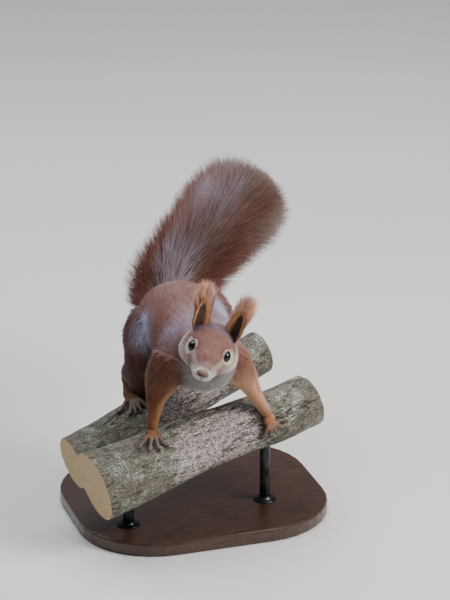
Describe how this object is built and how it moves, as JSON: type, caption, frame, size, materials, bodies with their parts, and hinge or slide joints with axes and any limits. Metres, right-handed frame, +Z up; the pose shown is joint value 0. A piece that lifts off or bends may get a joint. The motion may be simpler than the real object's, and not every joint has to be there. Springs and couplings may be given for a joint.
{
  "type": "red squirrel",
  "caption": "Life-size still model of a red squirrel crouched across a forked length of branch, held on rods above a flat display base.",
  "frame": {"origin": "middle of the display base's underside", "axes": "+Z up, +X towards the animal's left, +Y towards its rear; the chest and muzzle point along -Y"},
  "size_m": [0.2277, 0.2694, 0.2312],
  "materials": {
    "coat_body": "short dense fur, grey-brown to rusty",
    "coat_head": "very short fur, rusty crown and pale cheeks",
    "coat_legs": "short orange fur",
    "coat_tail": "long dark red-brown hair",
    "bare_skin": "bare matte skin",
    "eye": "wet gloss",
    "claw": "satin horn",
    "bark": "rough bark with lichen",
    "stand_wood": "dark satin lacquer",
    "stand_steel": "blackened satin"
  },
  "bodies": {
    "root": {"head": "coat_head", "nose": "bare_skin", "ear_left": "coat_head", "ear_right": "coat_head", "eye_left": "eye", "eye_right": "eye", "neck": "coat_body", "trunk": "coat_body", "foreleg_left": "coat_legs", "foreleg_right": "coat_legs", "forearm_left": "coat_legs", "forearm_right": "coat_legs", "forepaw_left": "bare_skin", "forepaw_right": "bare_skin", "thigh_left": "coat_body", "thigh_right": "coat_body", "shank_left": "coat_legs", "shank_right": "coat_legs", "hindfoot_left": "bare_skin", "hindfoot_right": "bare_skin", "tail_root": "coat_tail", "tail_middle": "coat_tail", "tail_tip": "coat_tail", "perch_branch": "bark", "stand_base": "stand_wood", "stand_rod_left": "stand_steel", "stand_rod_right": "stand_steel"}
  },
  "joints": []
}
